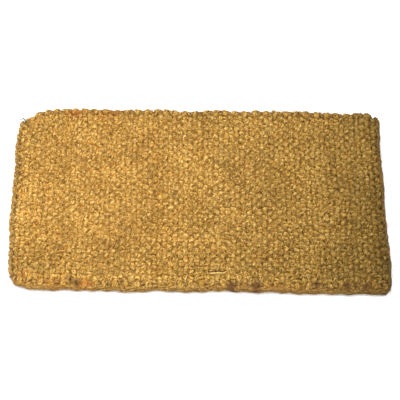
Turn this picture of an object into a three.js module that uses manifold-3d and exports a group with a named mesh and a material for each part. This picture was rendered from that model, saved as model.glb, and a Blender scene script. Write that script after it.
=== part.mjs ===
// Door mat, hand-woven from thick coir yarn in a plain weave, lying flat with either face up.
// Millimetres, +Z up, +X along the mat, +Y towards its rear edge.
// The origin is on the floor, under the middle of the mat.
//
// Warp: 70 runs of yarn from front to rear, laid as 35 hairpin pairs. The two runs of a pair take
// turns over and under the weft, so a pair is a closed band around all the weft: one rounded
// strip for each run above, one below, and a turn at each end.
// Weft: 42 picks of yarn from side to side, laid as 21 hairpins inside the warp bands, with the
// turn of one at the left and of the next at the right.
// Edge cords: a heavier cord inside the warp's rear turns, and a binding cord along the front
// edge and along each side.
// The yarns are soft, so each one is a plain closed body that fills the yarn's own place.

import * as THREE from 'three';
import { mergeVertices } from 'three/addons/utils/BufferGeometryUtils.js';
import Module from 'manifold-3d';

const MAT_LENGTH = 762;
const MAT_DEPTH = 457;
const MAT_THICKNESS = 25;
const GAP = 0.3;

// Each arc of an outline is drawn with twice this many straight steps.
const WARP_ARC_STEPS = 1;
const WEFT_ARC_STEPS = 2;
const CORD_ARC_STEPS = 2;

const CORD_WIDTH = 9.5;
const CORD_HEIGHT = 23;
const CORD_ROUNDING = 2;
const CORNER_RADIUS = 20;
const REAR_CORD_DEPTH = 11;

// How far the side cords and the outermost warp pairs stop short of the rear edge.
const LEFT_CORD_SETBACK = 28;
const RIGHT_CORD_SETBACK = 16;
const LEFT_PAIR_SETBACK = 11;
const RIGHT_PAIR_SETBACK = 8;

const WARP_PAIRS = 35;
const WARP_THICKNESS = 7;
const WARP_ROUNDING = 2.2;
const WARP_TURN_RADIUS = 9;
const WARP_OVERLAP = 1.2;

const WEFT_PAIRS = 21;
const WEFT_ROUNDING = 2.8;
const WEFT_SLIT = 0.8;

const halfLength = MAT_LENGTH / 2;
const rearEdge = MAT_DEPTH / 2;
const frontEdge = -rearEdge;

const weaveHalfLength = halfLength - CORD_WIDTH - GAP;
const pairWidth = (2 * weaveHalfLength) / WARP_PAIRS;
const warpFront = frontEdge + CORD_WIDTH + GAP;

const channelFront = warpFront + WARP_THICKNESS;
const channelRear = rearEdge - WARP_THICKNESS;
const channelHeight = MAT_THICKNESS - 2 * WARP_THICKNESS;

const weftHeight = channelHeight - 2 * GAP;
const weftFront = channelFront + GAP;
const weftRear = channelRear - 2 * GAP - REAR_CORD_DEPTH;
const hairpinDepth = (weftRear - weftFront) / WEFT_PAIRS;

const wasm = await Module();
wasm.setup();

const coir = {
  warp: new THREE.MeshStandardMaterial({ color: 0xc79a4c, roughness: 0.95, metalness: 0 }),
  weft: new THREE.MeshStandardMaterial({ color: 0xa97a34, roughness: 0.95, metalness: 0 }),
  edge: new THREE.MeshStandardMaterial({ color: 0xb98a3e, roughness: 0.95, metalness: 0 }),
};

const mat = new THREE.Group();

function addPiece(name, geometry, material) {
  const mesh = new THREE.Mesh(geometry, material);
  mesh.name = name;
  mat.add(mesh);
  return mesh;
}

function numbered(prefix, index) {
  return `${prefix}_${String(index + 1).padStart(2, '0')}`;
}

// An outline extruded along +Z and centred on its own middle plane. The rounding takes the sharp
// edges off and stays inside the outline.
function roundedExtrusion(shape, thickness, rounding, arcSteps) {
  const geometry = new THREE.ExtrudeGeometry(shape, {
    depth: thickness - 2 * rounding,
    curveSegments: arcSteps,
    bevelEnabled: true,
    bevelSize: rounding,
    bevelOffset: -rounding,
    bevelThickness: rounding,
    bevelSegments: 1,
  });
  geometry.translate(0, 0, rounding - thickness / 2);
  return geometry;
}

function toSolid(geometry) {
  const positions = new THREE.BufferGeometry();
  positions.setAttribute('position', geometry.getAttribute('position'));
  const merged = mergeVertices(positions, 1e-4);
  return new wasm.Manifold(new wasm.Mesh({
    numProp: 3,
    vertProperties: merged.getAttribute('position').array,
    triVerts: new Uint32Array(merged.index.array),
  }));
}

function toGeometry(solid) {
  const mesh = solid.getMesh();
  const geometry = new THREE.BufferGeometry();
  geometry.setAttribute('position', new THREE.BufferAttribute(mesh.vertProperties, 3));
  geometry.setIndex(new THREE.BufferAttribute(mesh.triVerts, 1));
  return geometry;
}

// One warp run seen from the side: a long loop with rounded ends around the weft channel.
// The outline lies in the Y-Z plane and is extruded along X.
function warpRun(front, rear, width) {
  const radius = WARP_TURN_RADIUS;
  const top = MAT_THICKNESS;
  const loop = new THREE.Shape();
  loop.absarc(rear - radius, radius, radius, -Math.PI / 2, 0, false);
  loop.absarc(rear - radius, top - radius, radius, 0, Math.PI / 2, false);
  loop.absarc(front + radius, top - radius, radius, Math.PI / 2, Math.PI, false);
  loop.absarc(front + radius, radius, radius, Math.PI, 1.5 * Math.PI, false);

  const channel = new THREE.Path();
  channel.moveTo(front + WARP_THICKNESS, WARP_THICKNESS);
  channel.lineTo(front + WARP_THICKNESS, top - WARP_THICKNESS);
  channel.lineTo(rear - WARP_THICKNESS, top - WARP_THICKNESS);
  channel.lineTo(rear - WARP_THICKNESS, WARP_THICKNESS);
  channel.closePath();
  loop.holes.push(channel);

  const alongY = new THREE.Vector3(0, 1, 0);
  const alongZ = new THREE.Vector3(0, 0, 1);
  const alongX = new THREE.Vector3(1, 0, 0);
  const turned = new THREE.Matrix4().makeBasis(alongY, alongZ, alongX);
  return roundedExtrusion(loop, width, WARP_ROUNDING, WARP_ARC_STEPS).applyMatrix4(turned);
}

// Two warp runs that belong to one hairpin, side by side and joined along their length.
function warpPair(front, rear) {
  const solidWidth = pairWidth - GAP;
  const runWidth = (solidWidth + WARP_OVERLAP) / 2;
  const runOffset = (solidWidth - runWidth) / 2;
  const left = toSolid(warpRun(front, rear, runWidth).translate(-runOffset, 0, 0));
  const right = toSolid(warpRun(front, rear, runWidth).translate(runOffset, 0, 0));
  return toGeometry(left.add(right));
}

function addWarp() {
  const bands = new Array(WARP_PAIRS).fill(warpPair(warpFront, rearEdge));
  bands[0] = warpPair(warpFront, rearEdge - LEFT_PAIR_SETBACK);
  bands[WARP_PAIRS - 1] = warpPair(warpFront, rearEdge - RIGHT_PAIR_SETBACK);
  bands.forEach((band, i) => {
    const pair = addPiece(numbered('warp_pair', i), band, coir.warp);
    pair.position.x = -weaveHalfLength + (i + 0.5) * pairWidth;
  });
}

// A weft hairpin seen from above: two picks side by side, joined by a round turn at the left.
function weftHairpin() {
  const left = -weaveHalfLength;
  const right = weaveHalfLength;
  const side = (hairpinDepth - GAP) / 2;
  const slit = WEFT_SLIT / 2;
  const turn = new THREE.Shape();
  turn.moveTo(right, -side);
  turn.lineTo(right, -slit);
  turn.lineTo(left + side, -slit);
  turn.lineTo(left + side, slit);
  turn.lineTo(right, slit);
  turn.lineTo(right, side);
  turn.lineTo(left + side, side);
  turn.absarc(left + side, 0, side, Math.PI / 2, 1.5 * Math.PI, false);
  turn.closePath();
  return roundedExtrusion(turn, weftHeight, WEFT_ROUNDING, WEFT_ARC_STEPS);
}

function addWeft() {
  const hairpin = weftHairpin();
  for (let i = 0; i < WEFT_PAIRS; i++) {
    const pair = addPiece(numbered('weft_pair', i), hairpin, coir.weft);
    const y = weftFront + (i + 0.5) * hairpinDepth;
    pair.position.set(0, y, MAT_THICKNESS / 2);
    pair.rotation.z = i % 2 === 0 ? 0 : Math.PI;
  }
}

function addRearCord() {
  const end = weaveHalfLength - pairWidth;
  const rear = channelRear - GAP;
  const radius = REAR_CORD_DEPTH / 2;
  const middle = rear - radius;
  const outline = new THREE.Shape();
  outline.absarc(end - radius, middle, radius, -Math.PI / 2, Math.PI / 2, false);
  outline.absarc(-end + radius, middle, radius, Math.PI / 2, 1.5 * Math.PI, false);
  const cord = roundedExtrusion(outline, weftHeight, WEFT_ROUNDING, CORD_ARC_STEPS);
  addPiece('rear_edge_cord', cord, coir.edge).position.z = MAT_THICKNESS / 2;
}

// The front cord ends on a slanting face at each front corner, where a side cord meets it.
function frontCordOutline() {
  const radius = CORNER_RADIUS;
  const inner = weaveHalfLength + GAP;
  const slant = GAP / Math.SQRT2;
  const outline = new THREE.Shape();
  outline.moveTo(inner - slant, frontEdge + CORD_WIDTH);
  outline.lineTo(-inner + slant, frontEdge + CORD_WIDTH);
  outline.absarc(-halfLength + radius, frontEdge + radius, radius,
    1.25 * Math.PI + slant / radius, 1.5 * Math.PI, false);
  outline.absarc(halfLength - radius, frontEdge + radius, radius,
    1.5 * Math.PI, 1.75 * Math.PI - slant / radius, false);
  outline.closePath();
  return outline;
}

// A side cord drawn at the left; the right one is its mirror image.
function sideCordOutline(setback) {
  const radius = CORNER_RADIUS;
  const inner = -halfLength + CORD_WIDTH;
  const slant = GAP / Math.SQRT2;
  const rear = rearEdge - setback;
  const endRadius = CORD_WIDTH / 2;
  const outline = new THREE.Shape();
  outline.moveTo(inner, frontEdge + CORD_WIDTH + slant);
  outline.lineTo(inner, rear - endRadius);
  outline.absarc(inner - endRadius, rear - endRadius, endRadius, 0, Math.PI, false);
  outline.absarc(-halfLength + radius, frontEdge + radius, radius,
    Math.PI, 1.25 * Math.PI - slant / radius, false);
  outline.closePath();
  return outline;
}

function bindingCord(outline) {
  return roundedExtrusion(outline, CORD_HEIGHT, CORD_ROUNDING, CORD_ARC_STEPS);
}

function addBindingCords() {
  const front = bindingCord(frontCordOutline());
  const left = bindingCord(sideCordOutline(LEFT_CORD_SETBACK));
  const mirrored = toSolid(bindingCord(sideCordOutline(RIGHT_CORD_SETBACK)));
  const right = toGeometry(mirrored.mirror([1, 0, 0]));
  addPiece('front_edge_cord', front, coir.edge).position.z = MAT_THICKNESS / 2;
  addPiece('left_edge_cord', left, coir.edge).position.z = MAT_THICKNESS / 2;
  addPiece('right_edge_cord', right, coir.edge).position.z = MAT_THICKNESS / 2;
}

addWarp();
addWeft();
addRearCord();
addBindingCords();

export default mat;
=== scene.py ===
import math

import bpy
import numpy as np
from mathutils import Matrix, Vector


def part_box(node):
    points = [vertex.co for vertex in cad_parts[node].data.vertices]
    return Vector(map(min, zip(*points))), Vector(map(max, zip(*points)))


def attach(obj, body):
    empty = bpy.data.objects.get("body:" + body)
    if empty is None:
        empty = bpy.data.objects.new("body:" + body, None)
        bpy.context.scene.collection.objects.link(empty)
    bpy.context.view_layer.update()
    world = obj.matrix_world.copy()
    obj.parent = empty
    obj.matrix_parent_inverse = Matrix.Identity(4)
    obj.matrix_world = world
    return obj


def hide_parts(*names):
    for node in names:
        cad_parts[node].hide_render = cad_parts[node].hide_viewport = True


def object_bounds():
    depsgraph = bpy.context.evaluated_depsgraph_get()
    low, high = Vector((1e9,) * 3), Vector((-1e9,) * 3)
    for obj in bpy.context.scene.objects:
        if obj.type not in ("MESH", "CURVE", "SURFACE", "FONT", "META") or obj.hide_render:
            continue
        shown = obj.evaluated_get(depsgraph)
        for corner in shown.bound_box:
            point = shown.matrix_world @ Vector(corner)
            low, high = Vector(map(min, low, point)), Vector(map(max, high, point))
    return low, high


MM = 0.001
SEED = 1905

# The camera's angles are in degrees, its distance and aim in metres and its lens in millimetres.
ELEVATION = 52.52
AZIMUTH = 2.565
ROLL = 2.847
DISTANCE = 3.669
AIM = (0.0033, 0.0012, 0.0)
LENS = 160.3

# Yarn sizes, in metres.
WARP_HALF_WIDTH = 5.9 * MM
WARP_HALF_HEIGHT = 3.4 * MM
WARP_DIVE_HALF_HEIGHT = 1.8 * MM
WEFT_HALF_WIDTH = 4.3 * MM
WEFT_HALF_HEIGHT = 4.5 * MM
REAR_TURN_HALF_HEIGHT = 3.2 * MM
FRONT_TURN_HALF_WIDTH = 6.4 * MM
FRONT_TURN_HALF_HEIGHT = 2.9 * MM
SIDE_TURN_HALF_WIDTH = 3.4 * MM
SIDE_TURN_HALF_HEIGHT = 4.2 * MM
CORD_HALF_WIDTH = 4.75 * MM
CORNER_RADIUS = 20 * MM

# How far the weft swings up and down, and how far the warp reaches over the front cord.
WEFT_RISE = 3.4 * MM
FRONT_OVERHANG = 6.0 * MM

# The length of one full twist of a yarn's plies, and of the fibres in a ply.
WARP_LAY = 38 * MM
WEFT_LAY = 34 * MM
FIBRE_LAY = 26 * MM

# Where a yarn has its points around each crossing, in crossings.
WARP_STEPS = (-0.44, -0.33, -0.17, 0.0, 0.17, 0.33, 0.44, 0.5)
WEFT_STEPS = (-0.34, -0.17, 0.0, 0.17, 0.34, 0.5)
PLY_SIDES = 8

FLOOR_CLEARANCE = 0.15 * MM
FLOOR_HALF_SIZE = 12

random = np.random.default_rng(SEED)


# ---------------------------------------------------------------- frame and camera

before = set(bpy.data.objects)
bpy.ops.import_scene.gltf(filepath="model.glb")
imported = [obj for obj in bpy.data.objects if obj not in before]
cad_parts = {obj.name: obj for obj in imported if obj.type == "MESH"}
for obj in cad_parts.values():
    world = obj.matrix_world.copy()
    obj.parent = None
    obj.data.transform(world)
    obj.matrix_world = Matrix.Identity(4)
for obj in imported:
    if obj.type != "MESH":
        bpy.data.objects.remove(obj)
cad_low, cad_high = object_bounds()
middle_height = (cad_low.z + cad_high.z) / 2


def make_camera():
    azimuth, elevation, roll = (math.radians(a) for a in (AZIMUTH, ELEVATION, ROLL))
    forward = Vector((
        math.sin(azimuth) * math.cos(elevation),
        math.cos(azimuth) * math.cos(elevation),
        -math.sin(elevation),
    ))
    right = forward.cross(Vector((0, 0, 1))).normalized()
    up = right.cross(forward)
    rolled_right = right * math.cos(roll) + up * math.sin(roll)
    rolled_up = up * math.cos(roll) - right * math.sin(roll)
    camera = bpy.data.objects.new("camera", bpy.data.cameras.new("camera"))
    camera.data.lens = LENS
    camera.data.sensor_width = 36
    camera.data.clip_end = 50
    camera.matrix_world = Matrix((rolled_right, rolled_up, -forward)).transposed().to_4x4()
    camera.matrix_world.translation = Vector(AIM) - forward * DISTANCE
    bpy.context.scene.collection.objects.link(camera)
    bpy.context.scene.camera = camera


make_camera()


# ---------------------------------------------------------------- small number helpers

def unit(vectors):
    return vectors / np.linalg.norm(vectors, axis=-1, keepdims=True)


def square_to(direction, vectors):
    """Unit vectors square to each direction, as near to the given vectors as they can be."""
    return unit(vectors - direction * np.sum(vectors * direction, axis=1, keepdims=True))


def level_across(path):
    """A level direction square to a path at each of its points."""
    vertical = np.broadcast_to(np.array([0, 0, 1.0]), path.shape)
    return np.cross(vertical, np.gradient(path, axis=0))


def interpolated(wanted, places, values):
    """Each column of values, which are given at places, read at the wanted ones."""
    return np.stack([np.interp(wanted, places, column) for column in values.T], axis=-1)


def smoothstep(value, start, end):
    t = np.clip((value - start) / (end - start), 0, 1)
    return t * t * (3 - 2 * t)


def near(value, edge, reach):
    """1 at an edge or past it, easing down to 0 at a reach before it."""
    return smoothstep(value, edge - reach, edge)


def wave_field(count, shortest, longest):
    """A smooth random field over the floor plane, as a function of x and y, about 1 high."""
    angle = random.uniform(0, 2 * math.pi, count)
    length = random.uniform(shortest, longest, count)
    phase = random.uniform(0, 2 * math.pi, count)
    kx = 2 * math.pi * np.cos(angle) / length
    ky = 2 * math.pi * np.sin(angle) / length

    def field(x, y):
        total = np.zeros(np.shape(x))
        for i in range(count):
            total += np.sin(kx[i] * x + ky[i] * y + phase[i])
        return total * math.sqrt(2 / count)

    return field


def between(values, t):
    """Values given at whole numbers, eased between them at the positions t."""
    t = np.clip(t, 0, len(values) - 1)
    low = np.minimum(np.floor(t).astype(int), len(values) - 2)
    share = t - low
    share = share * share * (3 - 2 * share)
    return values[low] * (1 - share) + values[low + 1] * share


# ---------------------------------------------------------------- the mat's own unevenness

drift_x = wave_field(9, 0.05, 0.20)
drift_y = wave_field(9, 0.05, 0.20)
swell = wave_field(9, 0.06, 0.25)

# How the rear and front edges stray: each bend's x, its reach along the edge and its shift
# in y, in millimetres.
REAR_WANDER = ((-358, 24, -8), (-333, 20, -3), (-12, 30, -3.5), (130, 34, 4), (205, 50, 1.5),
               (317, 26, -4))
FRONT_WANDER = ((-225, 44, -2), (-130, 32, -5.5), (45, 46, 3.5), (200, 38, -5.5), (290, 50, -2.5),
                (368, 20, -4))


def strayed(x, wander):
    return sum(shift * MM * np.exp(-((x - centre * MM) / (reach * MM)) ** 2)
               for centre, reach, shift in wander)


def round_off(points, side_x, side_y, length, depth, radius, strength=1.0):
    """Draws one square corner in to a round one. The sides are 1 or -1."""
    x, y = points[..., 0] * side_x, points[..., 1] * side_y
    past_x, past_y = x - (length - radius), y - (depth - radius)
    away = np.hypot(past_x, past_y)
    share = np.maximum(past_x, past_y) / np.maximum(away, 1e-9)
    share = np.where((past_x > 0) & (past_y > 0), 1 - strength * (1 - share), 1)
    points[..., 0] = side_x * np.where(share < 1, length - radius + past_x * share, x)
    points[..., 1] = side_y * np.where(share < 1, depth - radius + past_y * share, y)


def settle(points):
    """Moves points of the even weave to where the worn mat has them."""
    x, y, z = points[..., 0].copy(), points[..., 1].copy(), points[..., 2].copy()
    points[..., 0] = x + 1.1 * MM * drift_x(x, y)
    points[..., 1] = y + 1.1 * MM * drift_y(x, y)
    points[..., 2] = z * (1 + 0.025 * swell(x, y))
    half_length, half_depth = cad_high.x, -cad_low.y
    near_front = near(-y, half_depth, 80 * MM)
    near_rear = near(y, half_depth, 70 * MM)

    # Both long edges stray, and draw in towards the left corners.
    points[..., 1] += 9 * MM * near(-x, half_length, 75 * MM) * near_front
    points[..., 1] -= 9 * MM * near(-x, half_length, 62 * MM) * near_rear
    points[..., 1] += strayed(x, REAR_WANDER) * near_rear
    points[..., 1] += strayed(x, FRONT_WANDER) * near_front

    # The left edge draws in towards its two corners.
    points[..., 0] += 3.5 * MM * near(-x, half_length, 60 * MM) * near_front
    rear_left = near(-x, half_length, 90 * MM) * near(y, half_depth, 128 * MM)
    points[..., 0] += 9 * MM * rear_left

    # The right edge bulges out, most of all at its middle and its rear corner.
    points[..., 0] += 2.2 * MM * smoothstep(x, 0.24, 0.37)
    at_middle = np.exp(-((y + 0.01) / 0.06) ** 2)
    points[..., 0] += 3 * MM * smoothstep(x, 0.30, half_length) * at_middle
    rear_right = near(x, half_length, 40 * MM) * smoothstep(y, 0.13, 0.18)
    points[..., 0] += 4 * MM * rear_right

    round_off(points, 1, 1, half_length + 6 * MM, half_depth + 1 * MM, 29 * MM)
    round_off(points, -1, -1, half_length - 3 * MM, half_depth - 9 * MM, 34 * MM, 0.5)

    # The front edge is trodden down.
    points[..., 2] *= 1 - 0.26 * near(-y, half_depth, 34 * MM)
    low = points[..., 2] < FLOOR_CLEARANCE
    points[..., 2][low] = FLOOR_CLEARANCE


# ---------------------------------------------------------------- strands as meshes

class Strands:
    """Vertices, faces and attributes gathered for one object."""

    def __init__(self):
        self.vertices, self.faces = [], []
        self.lay, self.tint, self.normals = [], [], []
        self.count = 0

    def add(self, vertices, faces, lay, tint, normals):
        self.vertices.append(vertices.reshape(-1, 3))
        self.faces.extend(f + self.count for f in faces)
        self.lay.append(lay.reshape(-1, 3))
        self.tint.append(np.broadcast_to(tint, lay.shape[:-1]).reshape(-1))
        self.normals.append(normals.reshape(-1, 3))
        self.count += vertices.size // 3


def ring_faces(stations, sides, closed):
    """Quads between neighbouring rings, and a cap at each end of an open tube."""
    rings = np.arange(stations if closed else stations - 1)[:, None]
    side = np.arange(sides)[None, :]
    next_ring, next_side = (rings + 1) % stations, (side + 1) % sides
    quads = np.stack(
        [
            rings * sides + side,
            rings * sides + next_side,
            next_ring * sides + next_side,
            next_ring * sides + side,
        ],
        axis=-1,
    ).reshape(-1, 4)
    if closed:
        return [quads]
    last = (stations - 1) * sides
    return [quads, np.arange(sides)[None, ::-1], last + np.arange(sides)[None, :]]


def add_tube(strands, path, across, upward, half_width, half_height, tint, closed=False,
             sides=PLY_SIDES, lumps=0.06):
    """A strand with an oval section along a path, with the slight lumps of spun fibre.

    Its lay attribute runs along the strand and turns with its fibres.
    """
    stations = len(path)
    along = np.concatenate([[0], np.cumsum(np.linalg.norm(np.diff(path, axis=0), axis=1))])
    angle = 2 * math.pi * np.arange(sides) / sides
    phase = random.uniform(0, 2 * math.pi, 3)
    turning = angle[None, :] - 2 * math.pi * along[:, None] / FIBRE_LAY
    size = 1 + lumps * np.sin(2 * turning + phase[0]) * np.sin(along[:, None] * 330 + phase[1])
    size += 0.6 * lumps * np.sin(3 * turning + phase[2])
    size += random.normal(0, 0.055, size.shape)
    out = (
        across[:, None] * (np.cos(angle)[None, :] * half_width[:, None])[..., None]
        + upward[:, None] * (np.sin(angle)[None, :] * half_height[:, None])[..., None]
    )
    vertices = path[:, None] + out * size[..., None]
    radius = (half_width + half_height)[:, None] / 2
    lay = np.stack(
        [
            np.broadcast_to(along[:, None], turning.shape),
            radius * np.cos(turning),
            radius * np.sin(turning),
        ],
        axis=-1,
    ) + random.uniform(0, 1, 3)
    if np.ndim(tint) == 1:
        tint = tint[:, None]
    strands.add(vertices, ring_faces(stations, sides, closed), lay, tint, unit(out))


def add_twisted(strands, path, across, half_width, half_height, lay, tint, plies=2,
                closed=False):
    """A yarn of twisted plies. Across is a rough sideways direction at each station."""
    if closed:
        tangent = np.roll(path, -1, axis=0) - np.roll(path, 1, axis=0)
    else:
        tangent = np.gradient(path, axis=0)
    tangent = unit(tangent)
    across = square_to(tangent, across)
    upward = np.cross(tangent, across)
    steps = np.linalg.norm(np.roll(path, -1, axis=0) - path, axis=1)
    length = steps.sum() if closed else steps[:-1].sum()
    turns = length / lay
    if closed:
        turns = round(turns)
    along = np.concatenate([[0], np.cumsum(steps)[:-1]]) / length
    start = random.uniform(0, 2 * math.pi)
    for ply in range(plies):
        # A ply is wide and flat where it lies on top, and narrow and tall where it passes a side.
        angle = start + 2 * math.pi * (turns * along + ply / plies)
        lift = np.sin(angle) ** 2
        middle = (
            path
            + across * (0.46 * half_width * np.cos(angle))[:, None]
            + upward * (0.44 * half_height * np.sin(angle))[:, None]
        )
        add_tube(
            strands,
            middle,
            across,
            upward,
            half_width * (0.54 + 0.20 * lift),
            half_height * (0.86 - 0.26 * lift),
            tint + random.normal(0, 0.06),
            closed,
        )


def make_object(name, strands, material, body="root"):
    """One visible piece, settled into its place: the object and its vertices."""
    vertices = np.concatenate(strands.vertices)
    depth = hollow_depth(vertices)
    settle(vertices)
    corners = np.concatenate([f.ravel() for f in strands.faces]).astype(np.int32)
    sizes = np.concatenate([np.full(len(f), f.shape[1]) for f in strands.faces])
    mesh = bpy.data.meshes.new(name)
    mesh.vertices.add(len(vertices))
    mesh.vertices.foreach_set("co", vertices.astype(np.float32).ravel())
    mesh.loops.add(len(corners))
    mesh.loops.foreach_set("vertex_index", corners)
    mesh.polygons.add(len(sizes))
    mesh.polygons.foreach_set("loop_start", (np.cumsum(sizes) - sizes).astype(np.int32))
    mesh.update(calc_edges=True)
    mesh.shade_smooth()
    lay = mesh.attributes.new("lay", "FLOAT_VECTOR", "POINT")
    lay.data.foreach_set("vector", np.concatenate(strands.lay).astype(np.float32).ravel())
    write_float(mesh, "tint", np.concatenate(strands.tint))
    write_float(mesh, "depth", depth)
    write_float(mesh, "brown", blots(vertices, BROWN_STAINS))
    write_float(mesh, "rust", blots(vertices, RUST_STAINS))
    mesh.materials.append(material)
    piece = bpy.data.objects.new(name, mesh)
    bpy.context.scene.collection.objects.link(piece)
    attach(piece, body)
    return piece, vertices


def replace_node(name, new_name, strands, material):
    """The visible piece for one CAD node: the vertices and normals of its surface."""
    piece, vertices = make_object(new_name, strands, material)
    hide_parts(name)
    return vertices, np.concatenate(strands.normals)


def hollow_depth(points):
    """How deep a place lies in the weave, from 0 at the surface and the edges up to 1 inside.

    The photo's hollows are darker towards the right, so the values are drawn together there. The
    values set how much light is painted into the hollows.
    """
    depth = 1 - smoothstep(np.abs(points[:, 2] - middle_height), 4.5 * MM, 11.5 * MM)
    inside = smoothstep(cad_high.x - np.abs(points[:, 0]), 9 * MM, 15 * MM)
    inside *= smoothstep(points[:, 1] - cad_low.y, 9 * MM, 17 * MM)
    inside *= smoothstep(cad_high.y - points[:, 1], 12 * MM, 20 * MM)
    rightness = smoothstep(points[:, 0], -0.20, 0.06)
    return 0.12 * rightness + depth * inside * (1 - 0.45 * rightness)


def write_float(mesh, name, values):
    layer = mesh.attributes.new(name, "FLOAT", "POINT")
    layer.data.foreach_set("value", values.astype(np.float32))


# ---------------------------------------------------------------- stains

# Each stain is x, y, its half-length, its half-depth (millimetres) and its strength.
BROWN_STAINS = (
    (-254, -212, 5, 6, 0.8),
    (-244, -220, 6, 6, 1.0),
    (64, -223, 7, 9, 1.3),
    (88, -218, 5, 7, 0.7),
    (113, -224, 7, 9, 1.3),
    (235, -218, 8, 6, 1.1),
    (294, -220, 8, 5, 1.1),
    (330, -223, 8, 5, 1.0),
    (-363, 189, 6, 6, 0.7),
    (-178, 210, 5, 5, 0.4),
)
RUST_STAINS = (
    (-226, -222, 11, 6, 0.85),
    (-290, -220, 24, 8, 0.35),
    (-350, -207, 10, 10, 0.35),
    (-258, 210, 16, 10, 0.7),
    (-182, 214, 12, 8, 0.6),
    (-205, 206, 10, 8, 0.35),
    (150, -224, 60, 5, 0.15),
)


def blots(points, stains):
    """How stained each point is, from 0 to 1."""
    total = np.zeros(len(points))
    for x, y, half_length, half_depth, strength in stains:
        away = ((points[:, 0] - x * MM) / (half_length * MM)) ** 2
        away += ((points[:, 1] - y * MM) / (half_depth * MM)) ** 2
        total += strength * np.exp(-away * 0.7)
    return np.clip(total, 0, 1)


# ---------------------------------------------------------------- material

# The colours that painted shade, darker edges, specks, patches and stains mix into the fibre's
# own.
FALLOFF_SHADE = (0.41, 0.41, 0.32, 1)
FRONT_DARKENING = (0.80, 0.80, 0.77, 1)
BORDER = (0.45, 0.45, 0.42, 1)
SPECK = (0.26, 0.175, 0.075, 1)
REDDISH = (0.46, 0.19, 0.025, 1)
RUST = (0.42, 0.135, 0.018, 1)
BROWN = (0.085, 0.034, 0.009, 1)


def add_node(tree, kind, inputs=(), **settings):
    node = tree.nodes.new(kind)
    for key, value in settings.items():
        setattr(node, key, value)
    for socket, value in dict(inputs).items():
        if isinstance(value, bpy.types.NodeSocket):
            tree.links.new(value, node.inputs[socket])
        else:
            node.inputs[socket].default_value = value
    return node


def mix_colour(tree, share, first, second, blend="MIX"):
    node = add_node(tree, "ShaderNodeMix", {0: share, 6: first, 7: second},
                    data_type="RGBA", blend_type=blend)
    return node.outputs[2]


def noise(tree, vector, stretch, detail=2.0, roughness=0.5):
    scaled = add_node(tree, "ShaderNodeVectorMath", {0: vector, 1: stretch}, operation="MULTIPLY")
    node = add_node(tree, "ShaderNodeTexNoise",
                    {"Vector": scaled.outputs[0], "Scale": 1.0, "Detail": detail,
                     "Roughness": roughness})
    return node.outputs["Fac"]


def remap(tree, value, low, high, to_low=0.0, to_high=1.0):
    node = add_node(tree, "ShaderNodeMapRange",
                    {0: value, 1: low, 2: high, 3: to_low, 4: to_high})
    return node.outputs[0]


def attribute(tree, name, output):
    return add_node(tree, "ShaderNodeAttribute", attribute_name=name).outputs[output]


def arithmetic(tree, operation, first, second):
    return add_node(tree, "ShaderNodeMath", {0: first, 1: second}, operation=operation).outputs[0]


def fibre_colour(tree, lay, place, fibre, clump, deep, body, pale):
    """The clean fibre's colour: streaks, clumps and speckles from deep brown to pale."""
    speckle = noise(tree, lay, (340, 680, 680), 2.0, 0.6)
    patch = noise(tree, place, (26, 26, 26), 3.0)
    tone = arithmetic(tree, "ADD", remap(tree, fibre, 0.30, 0.70, -0.28, 0.28),
                      remap(tree, clump, 0.30, 0.70, -0.14, 0.14))
    tone = arithmetic(tree, "ADD", tone, remap(tree, speckle, 0.32, 0.68, -0.98, 0.80))
    tone = arithmetic(tree, "ADD", tone, attribute(tree, "tint", "Fac"))
    tone = arithmetic(tree, "ADD", tone, remap(tree, patch, 0.3, 0.7, -0.07, 0.07))
    ramp = add_node(tree, "ShaderNodeValToRGB", {0: tone})
    stops = ramp.color_ramp.elements
    stops[0].position, stops[0].color = 0.05, (*deep, 1)
    stops[1].position, stops[1].color = 0.95, (*pale, 1)
    stops.new(0.5).color = (*body, 1)
    return ramp.outputs[0]


def weathered_and_shaded(tree, clean, lay, place, clump):
    """A clean colour with painted grey shade towards the right, darker front and right edges,
    specks and stains.
    """
    x, y, _ = add_node(tree, "ShaderNodeSeparateXYZ", {0: place}).outputs
    region = noise(tree, place, (5, 7, 5), 1.0)

    # Painted grey shade grows towards the right edge, and a little towards the front, standing in
    # for the light's falloff across the mat.
    right = arithmetic(tree, "POWER", remap(tree, x, -0.14, 0.40), 1.7)
    painted_falloff_shade = arithmetic(tree, "MULTIPLY", right, remap(tree, region, 0.3, 0.7, 0.85, 1.0))
    painted_falloff_shade = arithmetic(tree, "MULTIPLY", painted_falloff_shade, remap(tree, y, 0.15, -0.23, 0.92, 1.16))
    colour = mix_colour(tree, painted_falloff_shade, clean, FALLOFF_SHADE, "MULTIPLY")

    # The front strip and the right border are darker still.
    front_darkening = remap(tree, y, -0.11, -0.20, 0.0, 0.55)
    colour = mix_colour(tree, front_darkening, colour, FRONT_DARKENING, "MULTIPLY")
    border = remap(tree, x, 0.350, 0.385, 0.0, 0.6)
    colour = mix_colour(tree, border, colour, BORDER, "MULTIPLY")

    # Reddish patches and dark specks are scattered all over the mat.
    reddish = remap(tree, noise(tree, place, (80, 80, 80), 2.0), 0.58, 0.75, 0.0, 0.3)
    colour = mix_colour(tree, reddish, colour, REDDISH)
    speck = remap(tree, noise(tree, lay, (260, 560, 560), 1.0), 0.55, 0.62)
    colour = mix_colour(tree, speck, colour, SPECK, "MULTIPLY")

    # Stains take the clumps' ragged outline.
    ragged = remap(tree, clump, 0.3, 0.7, 0.6, 1.2)
    rust = arithmetic(tree, "MULTIPLY", attribute(tree, "rust", "Fac"), ragged)
    colour = mix_colour(tree, rust, colour, RUST)
    brown = arithmetic(tree, "MULTIPLY", attribute(tree, "brown", "Fac"), ragged)
    return mix_colour(tree, brown, colour, BROWN)


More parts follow.
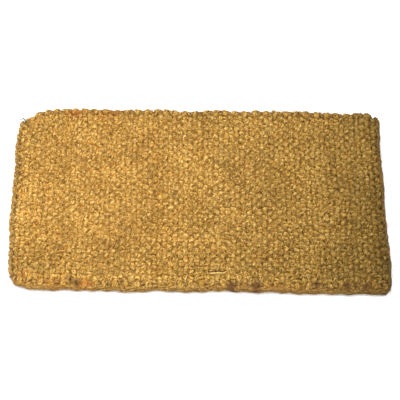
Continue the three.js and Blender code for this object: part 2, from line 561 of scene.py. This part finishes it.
def coir(name, deep, body, pale, grain=1.0, painted_hollow_light=0.60):
    """Dry coconut fibre. The light painted into the weave's hollows makes it paler inside the
    weave than on top, lifting the shade there.
    """
    material = bpy.data.materials.new(name)
    material.use_nodes = True
    tree = material.node_tree
    shader = tree.nodes["Principled BSDF"]
    lay = attribute(tree, "lay", "Vector")
    place = add_node(tree, "ShaderNodeTexCoord").outputs["Object"]
    fibre = noise(tree, lay, (90, 2600, 2600), 3.0, 0.6)
    clump = noise(tree, lay, (120, 620, 620), 2.0)

    own = fibre_colour(tree, lay, place, fibre, clump, deep, body, pale)
    # Painted light: the colour is paler deeper in the weave, lifting the shade in the hollows,
    # and a little darker on the tops.
    hollow_light_scale = remap(tree, attribute(tree, "depth", "Fac"), 0.0, 1.0,
                     1 - 0.2 * painted_hollow_light, 1 + painted_hollow_light)
    clean = add_node(tree, "ShaderNodeVectorMath", {0: own, 3: hollow_light_scale},
                     operation="SCALE").outputs[0]
    colour = weathered_and_shaded(tree, clean, lay, place, clump)
    tree.links.new(colour, shader.inputs["Base Color"])

    rough = remap(tree, fibre, 0.3, 0.7, 0.92, 0.66)
    tree.links.new(rough, shader.inputs["Roughness"])
    shader.inputs["Specular IOR Level"].default_value = 0.16
    shader.inputs["Sheen Weight"].default_value = 0.05
    shader.inputs["Sheen Roughness"].default_value = 0.5
    shader.inputs["Sheen Tint"].default_value = (0.95, 0.82, 0.55, 1)
    height = arithmetic(tree, "ADD", fibre, arithmetic(tree, "MULTIPLY", clump, 0.8))
    bump = add_node(tree, "ShaderNodeBump",
                    {"Height": height, "Strength": 0.75 * grain, "Distance": 0.6 * MM})
    tree.links.new(bump.outputs[0], shader.inputs["Normal"])
    return material


DEEP = (0.31, 0.135, 0.008)

warp_coir = coir("warp_coir", DEEP, (0.72, 0.448, 0.098), (0.74, 0.505, 0.185))
weft_coir = coir("weft_coir", DEEP, (0.71, 0.438, 0.092), (0.73, 0.485, 0.16))
cord_coir = coir("cord_coir", (0.17, 0.068, 0.009), (0.41, 0.225, 0.040), (0.60, 0.39, 0.13),
                 painted_hollow_light=0.0)
loose_coir = coir("loose_coir", (0.20, 0.088, 0.014), (0.62, 0.355, 0.062), (0.84, 0.60, 0.19),
                  grain=0.5, painted_hollow_light=0.0)
# The dark coir is for the real dark fibres and for the dark stalk that is the straw's painted
# shadow.
dark_coir_and_shadow = coir("dark_coir_and_shadow", (0.03, 0.013, 0.004), (0.06, 0.028, 0.008), (0.12, 0.06, 0.02),
                 grain=0.5, painted_hollow_light=0.0)


# ---------------------------------------------------------------- where the yarns run

def numbered_nodes(prefix):
    return sorted(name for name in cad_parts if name.startswith(prefix))


def quarter_points(low, high):
    return low + (high - low) * 0.25, low + (high - low) * 0.75


warp_names = numbered_nodes("warp_pair_")
weft_names = numbered_nodes("weft_pair_")
warp_x = []
for name in warp_names:
    low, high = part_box(name)
    warp_x.extend(quarter_points(low.x, high.x))
weft_y = []
for name in weft_names:
    low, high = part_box(name)
    weft_y.extend(quarter_points(low.y, high.y))
warp_x, weft_y = np.array(warp_x), np.array(weft_y)
warp_pitch = (warp_x[-1] - warp_x[0]) / (len(warp_x) - 1)
warp_x[0] -= 1.0 * MM
warp_x[-1] += 1.8 * MM
weft_pitch = (weft_y[-1] - weft_y[0]) / (len(weft_y) - 1)

# Each pair's two yarns lie at the quarter points of its box, but the outermost two runs
# lie a little further out. The front cord's lacing yarn and the rear cord are woven like one
# more pick each, so the rows are the lacing, the picks and the rear cord.
rear_low, rear_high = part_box("rear_edge_cord")
rear_cord_y = (rear_low.y + rear_high.y) / 2 + 2.0 * MM
row_y = np.concatenate([[weft_y[0] - weft_pitch], weft_y, [rear_cord_y]])
runs, rows = len(warp_x), len(row_y)
front_cord_edge = row_y[0] - 4 * MM
warp_sway = random.normal(0, 0.75 * MM, (runs, rows))
warp_slip = random.normal(0, 0.9 * MM, (runs, rows))
warp_lift = random.normal(0, 0.55 * MM, (runs, rows))
warp_girth = np.clip(random.normal(1, 0.12, (runs, rows)), 0.72, 1.22)
weft_sway = random.normal(0, 0.7 * MM, (rows, runs))
weft_lift = random.normal(0, 0.7 * MM, (rows, runs))
weft_girth = np.clip(random.normal(1, 0.10, (rows, runs)), 0.75, 1.25)
warp_tint = 0.50 + random.normal(0, 0.03, runs)[:, None] + random.normal(0, 0.03, (runs, rows))
weft_tint = 0.47 + random.normal(0, 0.03, rows)[:, None] + random.normal(0, 0.03, (rows, runs))


# ---------------------------------------------------------------- warp

def flattened_cosine(t):
    value = np.cos(math.pi * t)
    return np.sign(value) * np.abs(value) ** 0.8


def warp_run(run, last_row):
    """One run from the first row to the last one: its path, half-sizes and tint."""
    t = (np.arange(rows)[:, None] + np.array(WARP_STEPS)[None, :]).ravel()
    t = t[(t >= 0) & (t <= last_row)]
    rise = flattened_cosine(t + run + 1)
    crown = np.abs(rise)
    girth = between(warp_girth[run], t)
    half_height = WARP_DIVE_HALF_HEIGHT + (WARP_HALF_HEIGHT - WARP_DIVE_HALF_HEIGHT) * crown
    top = middle_height - WARP_HALF_HEIGHT
    path = np.stack(
        [
            warp_x[run] + between(warp_sway[run], t),
            np.interp(t, np.arange(rows), row_y) + between(warp_slip[run], t) * crown,
            middle_height + rise * (top + np.minimum(between(warp_lift[run], t), 0)),
        ],
        axis=-1,
    )
    return path, WARP_HALF_WIDTH * girth * (0.9 + 0.1 * crown), half_height, between(
        warp_tint[run], t)


def turn(start_x, end_x, centre_y, low_reach, high_reach, upwards, steps=11):
    """A boxy half loop in the Y-Z plane that also shifts from one run to the next."""
    share = (np.arange(steps) + 0.5) / steps
    angle = (share - 0.5) * math.pi
    rise = upwards * np.sign(np.sin(angle)) * np.abs(np.sin(angle)) ** 0.9
    reach = low_reach + (high_reach - low_reach) * smoothstep(rise, -0.6, 0.6)
    height = middle_height - WARP_HALF_HEIGHT
    shift = smoothstep(rise, -0.8, 0.6) if upwards > 0 else 1 - smoothstep(rise, -0.8, 0.6)
    return np.stack(
        [
            start_x + (end_x - start_x) * shift,
            centre_y + reach * np.cos(angle) ** 0.8,
            middle_height + height * rise,
        ],
        axis=-1,
    )


def make_warp_pair(index, name):
    """Two warp runs joined by a turn at each end. The first pair stops short of the rear cord."""
    low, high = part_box(name)
    first, second = 2 * index, 2 * index + 1
    at_left = index == 0
    last_row = rows - 2 if at_left else rows - 1
    out_path, out_width, out_height, out_tint = warp_run(first, last_row)
    back_path, back_width, back_height, back_tint = (v[::-1] for v in warp_run(second, last_row))
    rear_end = high.y if at_left else cad_high.y
    if index == len(warp_names) - 1:
        rear_end -= 2.5 * MM
    rear_reach = rear_end - WARP_HALF_HEIGHT - row_y[last_row] + random.normal(0, 0.8 * MM)
    behind_cord = row_y[0] - (low.y + WARP_HALF_HEIGHT) + 1 * MM
    leftness = 1 - smoothstep(low.x, -0.10, 0.05)
    over_cord = FRONT_OVERHANG + 3.5 * MM * leftness + random.normal(0, 0.7 * MM)
    rear_turn = turn(out_path[-1, 0], back_path[0, 0], row_y[last_row], rear_reach, rear_reach,
                     1 if at_left else -1)
    front_turn = turn(back_path[-1, 0], out_path[0, 0], row_y[0], -behind_cord, -over_cord, -1)
    path = np.concatenate([out_path, rear_turn, back_path, front_turn])
    bend = np.ones(len(rear_turn))
    spread = np.sin(np.linspace(0.1, 0.9, len(bend)) * math.pi) ** 0.6
    half_width = np.concatenate(
        [out_width, (5.0 + 1.6 * spread) * MM, back_width, FRONT_TURN_HALF_WIDTH * bend])
    half_height = np.concatenate(
        [out_height, REAR_TURN_HALF_HEIGHT * bend, back_height, FRONT_TURN_HALF_HEIGHT * bend])
    # The rear turns are tinted darker as painted shade on their shadowed rear sides; the front
    # turns are a little darker too.
    tint = np.concatenate(
        [out_tint, (back_tint[0] - 0.4) * bend, back_tint, (out_tint[0] - 0.2) * bend])
    across = np.broadcast_to(np.array([-1.0, 0, 0]), path.shape)
    strands = Strands()
    add_twisted(strands, path, across, half_width, half_height, WARP_LAY, tint, closed=True)
    return replace_node(name, name.replace("pair", "yarn"), strands, warp_coir)


# ---------------------------------------------------------------- weft

def weft_row(row):
    """One row from the first run to the last: its path, half-sizes and tint."""
    t = (np.arange(runs)[:, None] + np.array(WEFT_STEPS)[None, :]).ravel()
    t = t[(t >= 0) & (t <= runs - 1)]
    rise = -np.cos(math.pi * (t + row + 1))
    girth = between(weft_girth[row], t)
    lift = between(weft_lift[row], t)
    path = np.stack(
        [
            warp_x[0] + warp_pitch * t,
            row_y[row] + between(weft_sway[row], t),
            middle_height + rise * WEFT_RISE + lift * (rise > 0) * rise,
        ],
        axis=-1,
    )
    return path, WEFT_HALF_WIDTH * girth, WEFT_HALF_HEIGHT * (1.9 - 0.9 * girth), between(
        weft_tint[row], t)


def make_weft_pair(index, name):
    """Two picks joined by a turn at one side. Their tails tuck in at the other side."""
    low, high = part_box(name)
    first, second = 2 * index + 1, 2 * index + 2
    turned_left = index % 2 == 0
    out = weft_row(first)
    back = weft_row(second)
    if turned_left:
        out = tuple(v[::-1] for v in out)
    else:
        back = tuple(v[::-1] for v in back)
    direction = -1 if turned_left else 1
    edge = (low.x if turned_left else high.x) - direction * WEFT_HALF_WIDTH
    start, end = out[0][-1], back[0][0]
    share = (np.arange(7) + 0.5) / 7
    angle = (share - 0.5) * math.pi
    arc = np.stack(
        [
            start[0] + (edge - start[0]) * np.cos(angle),
            start[1] + (end[1] - start[1]) * (0.5 + 0.5 * np.sin(angle)),
            start[2] + (end[2] - start[2]) * share,
        ],
        axis=-1,
    )
    centre_y = (row_y[first] + row_y[second]) / 2
    tails = []
    for end_point in (out[0][0], back[0][-1]):
        lean = (centre_y - end_point[1]) * 0.5
        tails.append(end_point + np.array(
            [[direction * -2.5 * MM, lean * 0.3, -1 * MM], [direction * -5 * MM, lean, -5 * MM]]))
    path = np.concatenate([tails[0][::-1], out[0], arc, back[0], tails[1]])
    bend = np.ones(len(arc))
    tail = np.ones(2)

    def joined(k, at_turn):
        return np.concatenate(
            [tail * out[k][0], out[k], at_turn * bend, back[k], tail * back[k][-1]])

    strands = Strands()
    add_twisted(strands, path, level_across(path), joined(1, SIDE_TURN_HALF_WIDTH),
                joined(2, SIDE_TURN_HALF_HEIGHT), WEFT_LAY, joined(3, out[3][-1]))
    return replace_node(name, name.replace("pair", "yarn"), strands, weft_coir)


# ---------------------------------------------------------------- edge cords

def evenly_spaced(line, spacing):
    """Even places along a flat line, how far along they are, and which way is outward there."""
    steps = np.linalg.norm(np.diff(line, axis=0), axis=1)
    along = np.concatenate([[0], np.cumsum(steps)])
    wanted = np.linspace(0, along[-1], max(3, round(along[-1] / spacing)))
    flat = interpolated(wanted, along, line)
    tangent = unit(np.gradient(flat, axis=0))
    outward = np.stack([tangent[:, 1], -tangent[:, 0], np.zeros(len(flat))], axis=-1)
    return flat, wanted, outward


def arc_points(centre, radius, start, end, steps=16):
    """Points on an arc, from one angle to another in degrees."""
    angle = np.radians(np.linspace(start, end, steps))
    return np.stack([centre[0] + radius * np.cos(angle), centre[1] + radius * np.sin(angle)], -1)


def add_bundle(strands, line, count, lay, half_width, half_height, centre_z, strand_size,
               bulge=0.0, bulge_length=0.058, tone=0.5):
    """Strands laid round each other with a slow twist, squeezed into an upright oval.

    The bundle swells outwards in an uneven row of bulges, about one bulge length apart.
    """
    flat, along, outward = evenly_spaced(line, 3.0 * MM)
    wobble = random.uniform(0, 2 * math.pi, 3)
    pulse = np.sin(2 * math.pi * along / bulge_length + wobble[0]
                   + 1.3 * np.sin(2 * math.pi * along / 0.21 + wobble[1]))
    swelling = bulge * (0.5 + 0.5 * pulse) ** 1.5
    start = random.uniform(0, 2 * math.pi)
    for k in range(count):
        # Each strand strays from the even twist, varies in girth and tapers at its two ends.
        wander = 0.32 * np.sin(2 * math.pi * along / 0.09 + random.uniform(0, 6.3))
        angle = start + 2 * math.pi * (along / lay + k / count) + wander
        offset = (half_width - strand_size) * np.cos(angle) + swelling
        height = centre_z + (half_height - strand_size) * np.sin(angle)
        path = np.concatenate([flat, height[:, None]], axis=1) + outward * offset[:, None]
        direction = unit(np.gradient(path, axis=0))
        across = square_to(direction, outward)
        upward = np.cross(direction, across)
        girth = 1 + 0.12 * np.sin(2 * math.pi * along / 0.041 + random.uniform(0, 6.3))
        size = strand_size * girth * 1.12
        ends = np.minimum(along, along[-1] - along)
        size = size * (0.35 + 0.65 * smoothstep(ends, -1 * MM, 6 * MM))
        add_tube(strands, path, across, upward, size, size, tone + random.normal(0, 0.12),
                 sides=10, lumps=0.08)


def add_whipping(strands, line, pitch, half_width, half_height, yarn_size, yarns, tone=0.5):
    """Groups of yarns wound round a cord, one group to each turn."""
    steps = 16
    flat, along, outward = evenly_spaced(line, 1.0 * MM)

    # A table of the distance round the oval at each angle keeps the yarn's pace even.
    ring = np.linspace(0, 2 * math.pi, 400)
    deep, tall = half_width - yarn_size, half_height - yarn_size
    ring_steps = np.hypot(np.diff(deep * np.cos(ring)), np.diff(tall * np.sin(ring)))
    around = np.concatenate([[0], np.cumsum(ring_steps)])

    turns = max(1, round(along[-1] / pitch))
    pitch = along[-1] / turns
    spacing = 1.85 * yarn_size
    slack = between(random.normal(0, 0.11 * pitch, turns + 2), np.arange(turns * steps) / steps)
    for yarn in range(yarns):
        from_middle = yarn - (yarns - 1) / 2
        where = np.arange(turns * steps) / steps * pitch + slack + from_middle * spacing
        where = np.clip(where, 0, along[-1])
        share = (np.arange(turns * steps) / steps) % 1
        angle = np.interp(share * around[-1], around, ring) + math.pi
        crest = 1.0 * MM * random.uniform(0.4, 1.2)
        middle = interpolated(where, along, flat)
        facing = interpolated(where, along, outward)
        path = np.concatenate([middle, np.full((len(where), 1), middle_height)], axis=1)
        path += facing * ((deep + crest) * np.cos(angle))[:, None]
        path[:, 2] += (tall + 0.4 * crest) * np.sin(angle)
        direction = unit(np.gradient(path, axis=0))
        away = facing * np.cos(angle)[:, None]
        away[:, 2] = np.sin(angle)
        across = unit(np.cross(direction, away))
        upward = np.cross(direction, across)
        girth = between(random.uniform(0.86, 1.16, turns + 2), np.arange(len(where)) / steps)
        size = yarn_size * girth
        add_tube(strands, path, across, upward, size, size * 0.92, tone + random.normal(0, 0.14),
                 sides=8, lumps=0.08)


def cord_line(side):
    """The middle line of a side cord, from its rear end to the middle of the front corner.

    It is drawn at the left and mirrored for the right. The right cord runs on past its CAD
    solid, to close the rear-right corner.
    """
    name = "left_edge_cord" if side < 0 else "right_edge_cord"
    low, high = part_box(name)
    outer = abs(low.x if side < 0 else high.x)
    centre = (-(outer - CORNER_RADIUS), cad_low.y + CORNER_RADIUS)
    end_y = high.y + (10 if side > 0 else -2) * MM
    middle_x = -(outer - CORD_HALF_WIDTH)
    straight = np.array([[middle_x, end_y], [middle_x, centre[1]]])
    corner = arc_points(centre, CORNER_RADIUS - CORD_HALF_WIDTH, 180, 232)
    line = np.concatenate([straight, corner[1:]])
    line[:, 0] = -side * (line[:, 0] + (0.6 if side < 0 else 1.0) * MM)
    return line


def front_line():
    """The middle line of the front cord, with half of each front corner."""
    centre = (-(cad_high.x - CORNER_RADIUS), cad_low.y + CORNER_RADIUS)
    left = arc_points(centre, CORNER_RADIUS - CORD_HALF_WIDTH, 222, 270)
    right = left[::-1] * np.array([-1, 1])
    return np.concatenate([left, right])


def finish_cord(name, strands):
    return replace_node(name, name.replace("cord", "rope"), strands, cord_coir)


def add_woven_row(strands, row, size=1.0, lift=0.0, first=0, last=None):
    """A yarn along the front or the rear edge that the warp turns round."""
    path, half_width, half_height, tint = (v[first:last] for v in weft_row(row))
    path[:, 2] += lift
    add_twisted(strands, path, level_across(path), size * half_width, half_height, WEFT_LAY, tint)


def make_cords():
    front = Strands()
    add_bundle(front, front_line(), count=8, lay=210 * MM, half_width=5.2 * MM,
               half_height=9.3 * MM, centre_z=10.0 * MM, strand_size=2.5 * MM,
               bulge=2.2 * MM, bulge_length=37 * MM)
    add_woven_row(front, 0, size=1.3, lift=1.0 * MM)
    rear = Strands()
    add_woven_row(rear, rows - 1, size=1.8, lift=2.0 * MM, first=8, last=-1)
    left = Strands()
    add_bundle(left, cord_line(-1), count=5, lay=120 * MM, half_width=3.4 * MM,
               half_height=8.4 * MM, centre_z=middle_height, strand_size=2.4 * MM)
    add_whipping(left, cord_line(-1), pitch=20 * MM, half_width=5.9 * MM,
                 half_height=11.8 * MM, yarn_size=3.3 * MM, yarns=2)
    right = Strands()
    add_bundle(right, cord_line(1)[::-1], count=8, lay=190 * MM, half_width=5.2 * MM,
               half_height=9.8 * MM, centre_z=10.6 * MM, strand_size=2.6 * MM,
               bulge=1.0 * MM, bulge_length=38 * MM)
    return [
        finish_cord("front_edge_cord", front),
        finish_cord("rear_edge_cord", rear),
        finish_cord("left_edge_cord", left),
        finish_cord("right_edge_cord", right),
    ]


# ---------------------------------------------------------------- loose fibres

def add_fibres(strands, points, radius, tint):
    """Thin fibres along many short paths at once: points is (fibres, stations, 3)."""
    count, stations, _ = points.shape
    sides = 3
    tangent = unit(np.gradient(points, axis=1))
    sideways = unit(np.cross(tangent, np.array([0.03, 0.02, 1.0])))
    upward = np.cross(tangent, sideways)
    taper = np.array([0.55] + [1.0] * (stations - 2) + [0.45])
    size = radius[:, None, None, None] * taper[None, :, None, None]
    angle = 2 * math.pi * np.arange(sides) / sides
    out = (sideways[:, :, None] * np.cos(angle)[:, None]
           + upward[:, :, None] * np.sin(angle)[:, None])
    vertices = points[:, :, None] + out * size
    one = ring_faces(stations, sides, False)
    first = (np.arange(count) * stations * sides)[:, None, None]
    faces = [(f[None] + first).reshape(-1, f.shape[1]) for f in one]
    along = np.linspace(0, 1, stations)[None, :, None, None] * 12 * MM
    lay = np.concatenate([np.broadcast_to(along, vertices.shape[:3] + (1,)), out[..., 1:] * size],
                         axis=-1)
    lay = lay + random.uniform(0, 1, (count, 1, 1, 3))
    tints = np.broadcast_to(tint[:, None, None], vertices.shape[:3])
    strands.add(vertices, faces, lay, tints, out)


def lying_fibres(count, height_at, fullness, mean_length=10.4):
    """Fibres that lie over the knuckles, bridging the hollows between them.

    Their mean length is in millimetres. Fullness says which share of them a place keeps.
    """
    x = random.uniform(cad_low.x + 1 * MM, cad_high.x - 1 * MM, 3 * count)
    y = random.uniform(cad_low.y, cad_high.y, 3 * count)
    keep = random.uniform(0, 1, 3 * count) < fullness(x, y)
    x, y = x[keep][:count], y[keep][:count]
    n = len(x)
    heading = random.uniform(0, 2 * math.pi, n)
    on_cord = (y < front_cord_edge) | (np.abs(x) > cad_high.x - 8 * MM)
    along_cord = random.normal(0, 0.2, n) + np.where(y < front_cord_edge, 0, math.pi / 2)
    heading = np.where(on_cord, along_cord, heading)
    length = random.gamma(4.0, mean_length / 4, n).clip(4, 26) * MM
    bow = random.normal(0, 0.16, n) * length
    hump = random.gamma(1.6, 0.5, n).clip(0, 2.6) * MM
    t = np.linspace(0, 1, 6)[None, :]
    away = (t - 0.5) * length[:, None]
    side = bow[:, None] * 4 * t * (1 - t)
    px = x[:, None] + away * np.cos(heading)[:, None] - side * np.sin(heading)[:, None]
    py = y[:, None] + away * np.sin(heading)[:, None] + side * np.cos(heading)[:, None]
    ground = height_at(px, py)
    inside = (ground[:, 0] > 3 * MM) & (ground[:, -1] > 3 * MM)
    # Most fibres end on the mat, and a few hang over its edge.
    used = (inside | (random.uniform(0, 1, n) < 0.12)) & (ground[:, 2:4].min(axis=1) > 3 * MM)
    px, py, ground, hump = px[used], py[used], ground[used], hump[used]
    ground = np.maximum(ground, ground[:, 2:4].mean(axis=1, keepdims=True) - 4 * MM)
    ends = ground[:, :1] * (1 - t) + ground[:, -1:] * t
    pz = np.maximum(ends + hump[:, None] * 4 * t * (1 - t), ground + 0.1 * MM)
    pz[:, 0] = ground[:, 0] - 0.6 * MM
    pz[:, -1] = ground[:, -1] - 0.4 * MM + hump * random.uniform(0, 1, len(hump))
    pz = np.minimum(pz, ground.max() + 1.5 * MM)
    return np.stack([px, py, pz], axis=-1)


def whiskers(count, points, normals):
    """Short fibres that stand off the yarns and curl back."""
    pick = random.integers(0, len(points), count)
    start, out = points[pick], normals[pick]
    swirl = unit(np.cross(out, random.normal(0, 1, (count, 3))))
    length = random.gamma(3.0, 1.7, count).clip(2, 11)[:, None, None] * MM
    rise = random.uniform(0.1, 0.75, count)[:, None, None]
    t = np.linspace(0, 1, 5)[None, :, None]
    path = start[:, None] - out[:, None] * 0.4 * MM
    path = path + length * (swirl[:, None] * t + out[:, None] * rise * (t - 0.55 * t * t))
    path[..., 2] = path[..., 2].clip(0.3 * MM, cad_high.z + 7 * MM)
    return path


def height_map(points, cell=2.5 * MM):
    """The height of the mat's upper surface at any place, from its own points."""
    margin = 40 * MM
    size_x = int((cad_high.x - cad_low.x + 2 * margin) / cell)
    size_y = int((cad_high.y - cad_low.y + 2 * margin) / cell)
    grid = np.zeros((size_x, size_y))
    origin_x, origin_y = cad_low.x - margin, cad_low.y - margin
    ix = ((points[:, 0] - origin_x) / cell).astype(int).clip(0, size_x - 1)
    iy = ((points[:, 1] - origin_y) / cell).astype(int).clip(0, size_y - 1)
    np.maximum.at(grid, (ix, iy), points[:, 2])

    def height_at(x, y):
        jx = ((x - origin_x) / cell).astype(int).clip(0, size_x - 1)
        jy = ((y - origin_y) / cell).astype(int).clip(0, size_y - 1)
        return grid[jx, jy]

    return height_at


def make_loose_fibres(points, normals):
    """All the fibres that have come loose on the mat's surface, shared out over eight pieces."""
    height_at = height_map(points)

    def fullness(x, y):
        return 0.62 - 0.22 * smoothstep(x, 0.0, 0.3) + 0.35 * (y < front_cord_edge)

    thin = lying_fibres(23000, height_at, fullness)
    dark = lying_fibres(4600, height_at, fullness, 7)
    light = lying_fibres(4200, height_at, fullness, 6)
    standing = whiskers(9000, points[::3], normals[::3])
    # Each kind's paths, least and greatest radius in millimetres, tint and spread of tint.
    kinds = (
        (thin, 0.13, 0.27, 0.55, 0.22),
        (dark, 0.32, 0.54, 0.0, 0.10),
        (light, 0.26, 0.44, 0.85, 0.10),
        (standing, 0.13, 0.25, 0.50, 0.22),
    )
    parts = 8
    for part in range(parts):
        strands = Strands()
        for paths, thinnest, thickest, tone, spread in kinds:
            some = paths[part::parts]
            n = len(some)
            add_fibres(strands, some, random.uniform(thinnest, thickest, n) * MM,
                       tone + random.normal(0, spread, n))
        make_object(f"loose_fibres_{part + 1}", strands, loose_coir)


def add_stalk(strands, points, radius, tint):
    """One bent stalk through a few points, in millimetres."""
    points = np.array(points) * MM
    t = np.linspace(0, len(points) - 1, 16)
    path = interpolated(t, np.arange(len(points)), points)
    size = radius * (1 - 0.5 * np.abs(t / t[-1] - 0.5))
    tangent = unit(np.gradient(path, axis=0))
    across = unit(np.cross(tangent, np.array([0.02, 0.03, 1.0])))
    upward = np.cross(tangent, across)
    add_tube(strands, path, across, upward, size, size, tint, sides=6, lumps=0.04)


def make_stray_pieces():
    """A pale straw near the front with a dark stalk behind it as its painted shadow, and two
    fibres out of the rear-left corner.
    """
    straw = Strands()
    add_stalk(straw, [(22, -203.5, 27), (36, -203, 28.2), (53, -202.5, 27.6)], 0.95 * MM, 1.7)
    make_object("loose_straw", straw, loose_coir)
    # A dark stalk just behind the pale straw stands in for its shadow: a painted shadow.
    dark = Strands()
    add_stalk(dark, [(20, -199.8, 27), (34, -199.3, 28.5), (52, -198.8, 28)], 1.2 * MM, 0.5)
    make_object("straw_shadow", dark, dark_coir_and_shadow)
    stray = Strands()
    add_stalk(stray, [(-383, 197, 21), (-376, 197, 26.5), (-369, 194, 26.5)], 1.0 * MM, 0.6)
    add_stalk(stray, [(-378, 205, 23), (-374, 196, 27), (-368, 184, 26.5)], 1.2 * MM, 0.6)
    make_object("stray_fibres", stray, dark_coir_and_shadow)


# ---------------------------------------------------------------- floor and light

def make_floor():
    mesh = bpy.data.meshes.new("floor")
    size = FLOOR_HALF_SIZE
    mesh.from_pydata(
        [(-size, -size, 0), (size, -size, 0), (size, size, 0), (-size, size, 0)],
        [], [(0, 1, 2, 3)])
    floor = bpy.data.objects.new("floor", mesh)
    bpy.context.scene.collection.objects.link(floor)
    material = bpy.data.materials.new("floor")
    material.use_nodes = True
    shader = material.node_tree.nodes["Principled BSDF"]
    shader.inputs["Base Color"].default_value = (0.93, 0.93, 0.93, 1)
    shader.inputs["Roughness"].default_value = 0.9
    shader.inputs["Specular IOR Level"].default_value = 0.1
    mesh.materials.append(material)


def aim_at(thing, target):
    direction = Vector(target) - thing.location
    thing.rotation_euler = direction.to_track_quat("-Z", "Y").to_euler()


def make_light():
    """An even white studio, a wide soft sun from the rear left and a panel over the left half."""
    world = bpy.data.worlds.new("studio")
    bpy.context.scene.world = world
    world.use_nodes = True
    background = world.node_tree.nodes["Background"]
    background.inputs["Color"].default_value = (1, 1, 1, 1)
    background.inputs["Strength"].default_value = 1.49
    sun = bpy.data.objects.new("key", bpy.data.lights.new("key", "SUN"))
    sun.data.energy = 0.9
    sun.data.angle = math.radians(45)
    sun.location = (-1.0, 0.9, 2.8)
    aim_at(sun, (0, 0, 0))
    bpy.context.scene.collection.objects.link(sun)
    soft = bpy.data.objects.new("soft", bpy.data.lights.new("soft", "AREA"))
    soft.data.energy = 8
    soft.data.size = 1.0
    soft.location = (-0.34, 0.05, 1.7)
    aim_at(soft, (-0.12, -0.02, 0))
    bpy.context.scene.collection.objects.link(soft)
    bpy.context.scene.view_settings.view_transform = "Standard"


# ---------------------------------------------------------------- the whole mat

def make_mat():
    surfaces = [make_warp_pair(i, name) for i, name in enumerate(warp_names)]
    surfaces += [make_weft_pair(i, name) for i, name in enumerate(weft_names)]
    surfaces += make_cords()
    points = np.concatenate([s[0] for s in surfaces])
    normals = np.concatenate([s[1] for s in surfaces])
    make_loose_fibres(points, normals)
    make_stray_pieces()


make_mat()
make_floor()
make_light()
